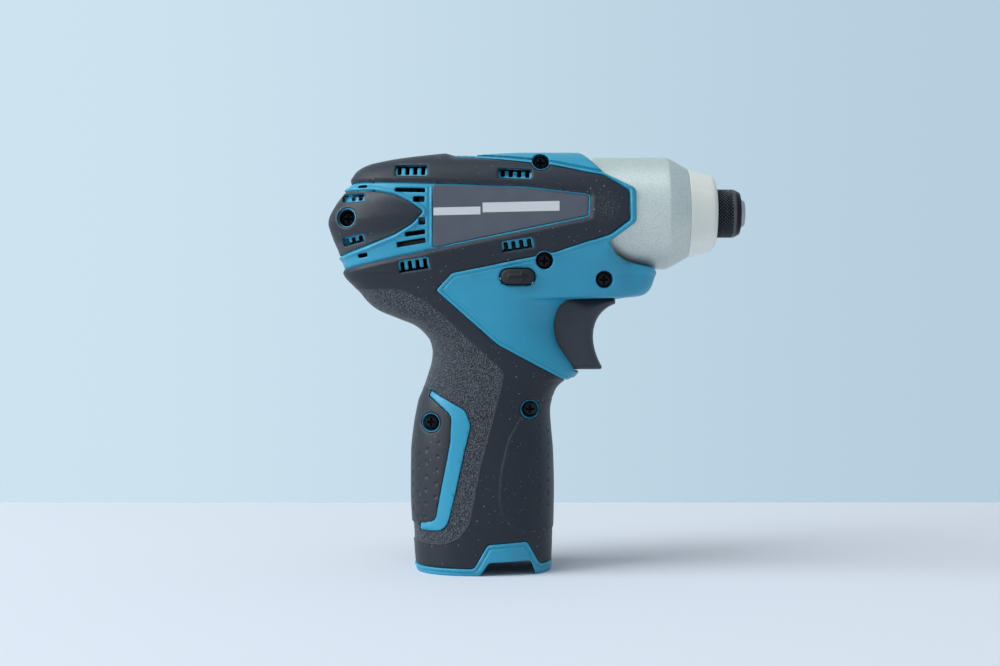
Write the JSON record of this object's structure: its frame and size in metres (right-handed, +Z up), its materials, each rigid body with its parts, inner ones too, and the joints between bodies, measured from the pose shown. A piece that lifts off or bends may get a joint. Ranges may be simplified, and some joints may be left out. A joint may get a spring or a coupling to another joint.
{
  "type": "impact driver",
  "caption": "Compact cordless impact driver: pistol grip in hard and soft plastic, silver hammer case, hex bit socket with sliding sleeve, trigger, direction lever and open battery well.",
  "frame": {"origin": "middle of the mouth of the battery well, on the plane that the rim of the grip stands on", "axes": "+X along the spindle axis to the bit, +Z up from the grip to the head, +Y to the left of the tool"},
  "size_m": [0.1548, 0.0484, 0.1544],
  "materials": {
    "hard_shell": "satin",
    "soft_skin": "matte",
    "black_screw": "satin",
    "label_plate": "satin",
    "clear_lens": "polished",
    "white_plastic": "matte",
    "silver_paint": "fine grained",
    "pale_rubber": "satin",
    "bronze": "sintered",
    "steel": "ground",
    "black_steel": "blackened",
    "magnet": "matte",
    "copper": "bare",
    "black_plastic": "matte",
    "grey_plastic": "matte",
    "contact_brass": "bare"
  },
  "bodies": {
    "housing": {"housing_right": "hard_shell", "housing_left": "hard_shell", "grip_right": "soft_skin", "grip_left": "soft_skin", "housing_screws": "black_screw", "name_plate_right": "label_plate", "name_plate_left": "label_plate", "led_lens": "clear_lens", "led_board": "white_plastic", "hammer_case": "silver_paint", "nose_bumper": "pale_rubber", "anvil_bush": "bronze", "thrust_washer": "white_plastic", "ring_gear": "steel", "gear_plate": "white_plastic", "spindle_bearing": "steel", "motor_yoke": "steel", "motor_magnets": "magnet", "motor_front_bearing": "steel", "motor_rear_bearing": "steel", "brush_holder": "black_plastic", "carbon_brushes": "black_plastic", "switch_body": "black_plastic", "trigger_spring": "steel", "terminal_block": "black_plastic", "battery_contacts": "contact_brass", "battery_leads": "copper", "motor_leads": "copper"},
    "armature": {"armature_core": "steel", "armature_winding": "copper", "armature_shaft": "steel", "commutator": "copper", "cooling_fan": "black_plastic"},
    "spindle": {"spindle": "steel", "planet_pins": "steel", "spring_washer": "steel", "cam_balls": "steel", "hammer_spring": "steel"},
    "planet_a": {"planet_gear_a": "steel"},
    "planet_b": {"planet_gear_b": "steel"},
    "hammer": {"hammer": "steel"},
    "anvil": {"anvil": "steel", "bit_ball": "steel", "sleeve_washer": "steel", "sleeve_ring": "black_steel", "sleeve_spring": "steel"},
    "sleeve": {"sleeve": "black_steel"},
    "trigger": {"trigger": "grey_plastic"},
    "lever": {"direction_lever": "grey_plastic"}
  },
  "joints": [
    {"name": "armature_spin", "type": "hinge", "parent": "housing", "child": "armature", "pos_m": [0, 0, 0.132], "axis": [1, 0, 0], "continuous": true},
    {"name": "spindle_spin", "type": "hinge", "parent": "housing", "child": "spindle", "pos_m": [0, 0, 0.132], "axis": [1, 0, 0], "continuous": true},
    {"name": "planet_a_spin", "type": "hinge", "parent": "spindle", "child": "planet_a", "pos_m": [0.033, 0, 0.141], "axis": [1, 0, 0], "continuous": true},
    {"name": "planet_b_spin", "type": "hinge", "parent": "spindle", "child": "planet_b", "pos_m": [0.033, 0, 0.123], "axis": [1, 0, 0], "continuous": true},
    {"name": "anvil_spin", "type": "hinge", "parent": "housing", "child": "anvil", "pos_m": [0, 0, 0.132], "axis": [1, 0, 0], "continuous": true},
    {"name": "hammer_slide", "type": "slide", "parent": "spindle", "child": "hammer", "axis": [-1, 0, 0], "range_m": [0, 0.0064], "stiffness_N_per_m": 9000, "springref_m": -0.004, "deforming": ["hammer_spring"]},
    {"name": "sleeve_slide", "type": "slide", "parent": "anvil", "child": "sleeve", "axis": [1, 0, 0], "range_m": [0, 0.003], "stiffness_N_per_m": 900, "springref_m": -0.003, "deforming": ["sleeve_spring"]},
    {"name": "trigger_slide", "type": "slide", "parent": "housing", "child": "trigger", "axis": [-1, 0, 0], "range_m": [0, 0.006], "stiffness_N_per_m": 700, "springref_m": -0.003, "deforming": ["trigger_spring"]},
    {"name": "lever_slide", "type": "slide", "parent": "housing", "child": "lever", "axis": [0, 1, 0], "range_m": [-0.0022, 0.0022]}
  ],
  "couplings": [
    {"joint": "spindle_spin", "follows": "armature_spin", "ratio": 0.16667},
    {"joint": "anvil_spin", "follows": "armature_spin", "ratio": 0.16667},
    {"joint": "planet_a_spin", "follows": "armature_spin", "ratio": -0.41667},
    {"joint": "planet_b_spin", "follows": "armature_spin", "ratio": -0.41667}
  ]
}
